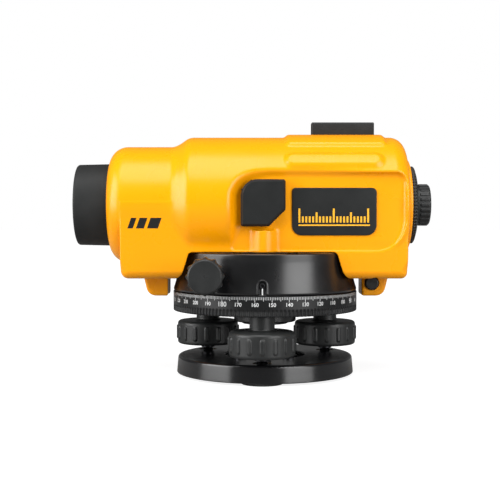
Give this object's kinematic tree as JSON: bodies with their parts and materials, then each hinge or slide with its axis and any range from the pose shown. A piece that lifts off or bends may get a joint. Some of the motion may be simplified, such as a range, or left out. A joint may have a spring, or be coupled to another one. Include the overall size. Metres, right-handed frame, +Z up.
{
  "type": "automatic level",
  "caption": "Surveyor's automatic level: yellow telescope body with eyepiece, focusing and tangent knobs, graduated circle and three-screw levelling base.",
  "frame": {"origin": "on the vertical axis at the underside of the base pads", "axes": "+Z up along the vertical axis, -X towards the objective, +X towards the eyepiece, -Y towards the side with the bubble mirror"},
  "size_m": [0.2147, 0.13, 0.1538],
  "materials": {
    "yellow_paint": "yellow enamel over die-cast aluminium",
    "black_paint": "semi-gloss black enamel over aluminium",
    "black_plastic": "moulded black plastic",
    "black_aluminium": "black anodised",
    "aluminium": "bare machined",
    "steel": "turned steel",
    "dark_steel": "blackened steel",
    "spring_steel": "tempered strip and wire",
    "screw_steel": "zinc-plated",
    "brass": "turned brass",
    "bronze": "sintered bronze",
    "rubber": "moulded rubber",
    "optical_glass": "polished and coated",
    "vial_glass": "vial with yellow-green spirit",
    "mirror": "silvered glass",
    "dial_white": "printed pointer plate"
  },
  "bodies": {
    "base": {"base_plate": "black_paint", "base_pads": "rubber", "foot_seats": "brass", "spring_plate_screws": "screw_steel"},
    "spring_plate": {"spring_plate": "spring_steel"},
    "tribrach": {"tribrach": "black_paint", "foot_screw_nuts": "brass", "axis_bush": "bronze", "spring_stud": "dark_steel"},
    "front_foot_screw": {"front_foot_screw": "dark_steel", "front_foot_knob": "black_plastic"},
    "left_foot_screw": {"left_foot_screw": "dark_steel", "left_foot_knob": "black_plastic"},
    "right_foot_screw": {"right_foot_screw": "dark_steel", "right_foot_knob": "black_plastic"},
    "circle": {"horizontal_circle": "black_plastic"},
    "compensator_pendulum": {"pendulum": "aluminium", "pendulum_prism": "optical_glass"},
    "focusing_carriage": {"focusing_carriage": "aluminium", "focusing_lens": "optical_glass"},
    "focus_drive": {"focus_shaft": "steel", "focus_knob": "black_plastic"},
    "eyepiece_ring": {"dioptre_ring": "black_plastic", "eye_lens": "optical_glass"},
    "mirror_flap": {"mirror_flap": "black_plastic", "mirror_glass": "mirror"},
    "tangent_drive": {"tangent_shaft": "steel", "tangent_knobs": "black_plastic"},
    "worm_wheel": {"worm_wheel": "brass"},
    "check_button": {"check_button": "black_plastic"},
    "telescope": {"main_housing": "yellow_paint", "eyepiece_flange": "yellow_paint", "alidade_base": "black_paint", "alidade_cover": "black_paint", "badge_plate": "black_plastic", "sight_body": "black_plastic", "reticle_cover": "black_plastic", "lens_shade": "black_aluminium", "objective_cell": "black_aluminium", "telescope_tube": "black_aluminium", "reticle_mount": "black_aluminium", "eyepiece_sleeve": "black_aluminium", "reticle_cell": "black_aluminium", "compensator_frame": "aluminium", "axis_spindle": "steel", "axis_nut": "steel", "damper_magnets": "steel", "flap_bracket": "dark_steel", "suspension_wires": "spring_steel", "base_screws": "screw_steel", "reticle_screws": "screw_steel", "vial_cup": "brass", "tangent_bushes": "bronze", "focus_bush": "bronze", "objective_lenses": "optical_glass", "fixed_prisms": "optical_glass", "reticle_glass": "optical_glass", "sight_windows": "optical_glass", "vial_glass": "vial_glass", "index_plate": "dial_white"}
  },
  "joints": [
    {"name": "level_roll", "type": "hinge", "parent": "base", "child": "spring_plate", "pos_m": [0, 0, 0.044], "axis": [0.0523, 0.9986, 0], "range_deg": [-1.55, 1.55]},
    {"name": "level_pitch", "type": "hinge", "parent": "spring_plate", "child": "tribrach", "pos_m": [0.00112, 0.02147, 0.044], "axis": [0.9986, -0.0523, 0], "range_deg": [-1.34, 1.34]},
    {"name": "front_foot_screw_turn", "type": "hinge", "parent": "base", "child": "front_foot_screw", "pos_m": [-0.00225, -0.04294, 0.0234], "axis": [0, 0, 1], "range_deg": [-540, 540]},
    {"name": "left_foot_screw_turn", "type": "hinge", "parent": "base", "child": "left_foot_screw", "pos_m": [-0.03606, 0.02342, 0.0234], "axis": [0, 0, 1], "range_deg": [-360, 360]},
    {"name": "right_foot_screw_turn", "type": "hinge", "parent": "base", "child": "right_foot_screw", "pos_m": [0.03831, 0.01952, 0.0234], "axis": [0, 0, 1], "range_deg": [-361, 361]},
    {"name": "circle_turn", "type": "hinge", "parent": "tribrach", "child": "circle", "pos_m": [0, 0, 0.0455], "axis": [0, 0, 1], "continuous": true},
    {"name": "alidade_turn", "type": "hinge", "parent": "tribrach", "child": "telescope", "pos_m": [0, 0, 0.0445], "axis": [0, 0, 1], "continuous": true},
    {"name": "tangent_turn", "type": "hinge", "parent": "telescope", "child": "tangent_drive", "pos_m": [-0.0343, 0, 0.063], "axis": [0, 1, 0], "continuous": true},
    {"name": "worm_wheel_turn", "type": "hinge", "parent": "telescope", "child": "worm_wheel", "pos_m": [0, 0, 0.063], "axis": [0, 0, 1], "continuous": true},
    {"name": "focus_turn", "type": "hinge", "parent": "telescope", "child": "focus_drive", "pos_m": [0.003, 0.0446, 0.1036], "axis": [0, 1, 0], "range_deg": [-132, 132]},
    {"name": "focus_slide", "type": "slide", "parent": "telescope", "child": "focusing_carriage", "axis": [1, 0, 0], "range_m": [-0.007, 0.007]},
    {"name": "dioptre_turn", "type": "hinge", "parent": "telescope", "child": "eyepiece_ring", "pos_m": [0.0955, 0, 0.1036], "axis": [1, 0, 0], "range_deg": [-150, 150]},
    {"name": "pendulum_swing", "type": "hinge", "parent": "telescope", "child": "compensator_pendulum", "pos_m": [0.037, 0, 0.1231], "axis": [0, 1, 0], "range_deg": [-0.5, 0.5]},
    {"name": "mirror_flap_hinge", "type": "hinge", "parent": "telescope", "child": "mirror_flap", "pos_m": [-0.01046, -0.0366, 0.11396], "axis": [-0.7071, 0, -0.7071], "range_deg": [0, 90]},
    {"name": "check_button_press", "type": "slide", "parent": "telescope", "child": "check_button", "axis": [0, 1, 0], "range_m": [0, 0.002], "stiffness_N_per_m": 300, "springref_m": -0.001}
  ],
  "couplings": [
    {"joint": "level_pitch", "follows": "front_foot_screw_turn", "ratio": 0.0024675},
    {"joint": "level_roll", "follows": "left_foot_screw_turn", "ratio": -0.0042739},
    {"joint": "right_foot_screw_turn", "follows": "left_foot_screw_turn", "ratio": -1},
    {"joint": "worm_wheel_turn", "follows": "tangent_turn", "ratio": 0.011628},
    {"joint": "focus_slide", "follows": "focus_turn", "m_per_rad": -0.003}
  ]
}
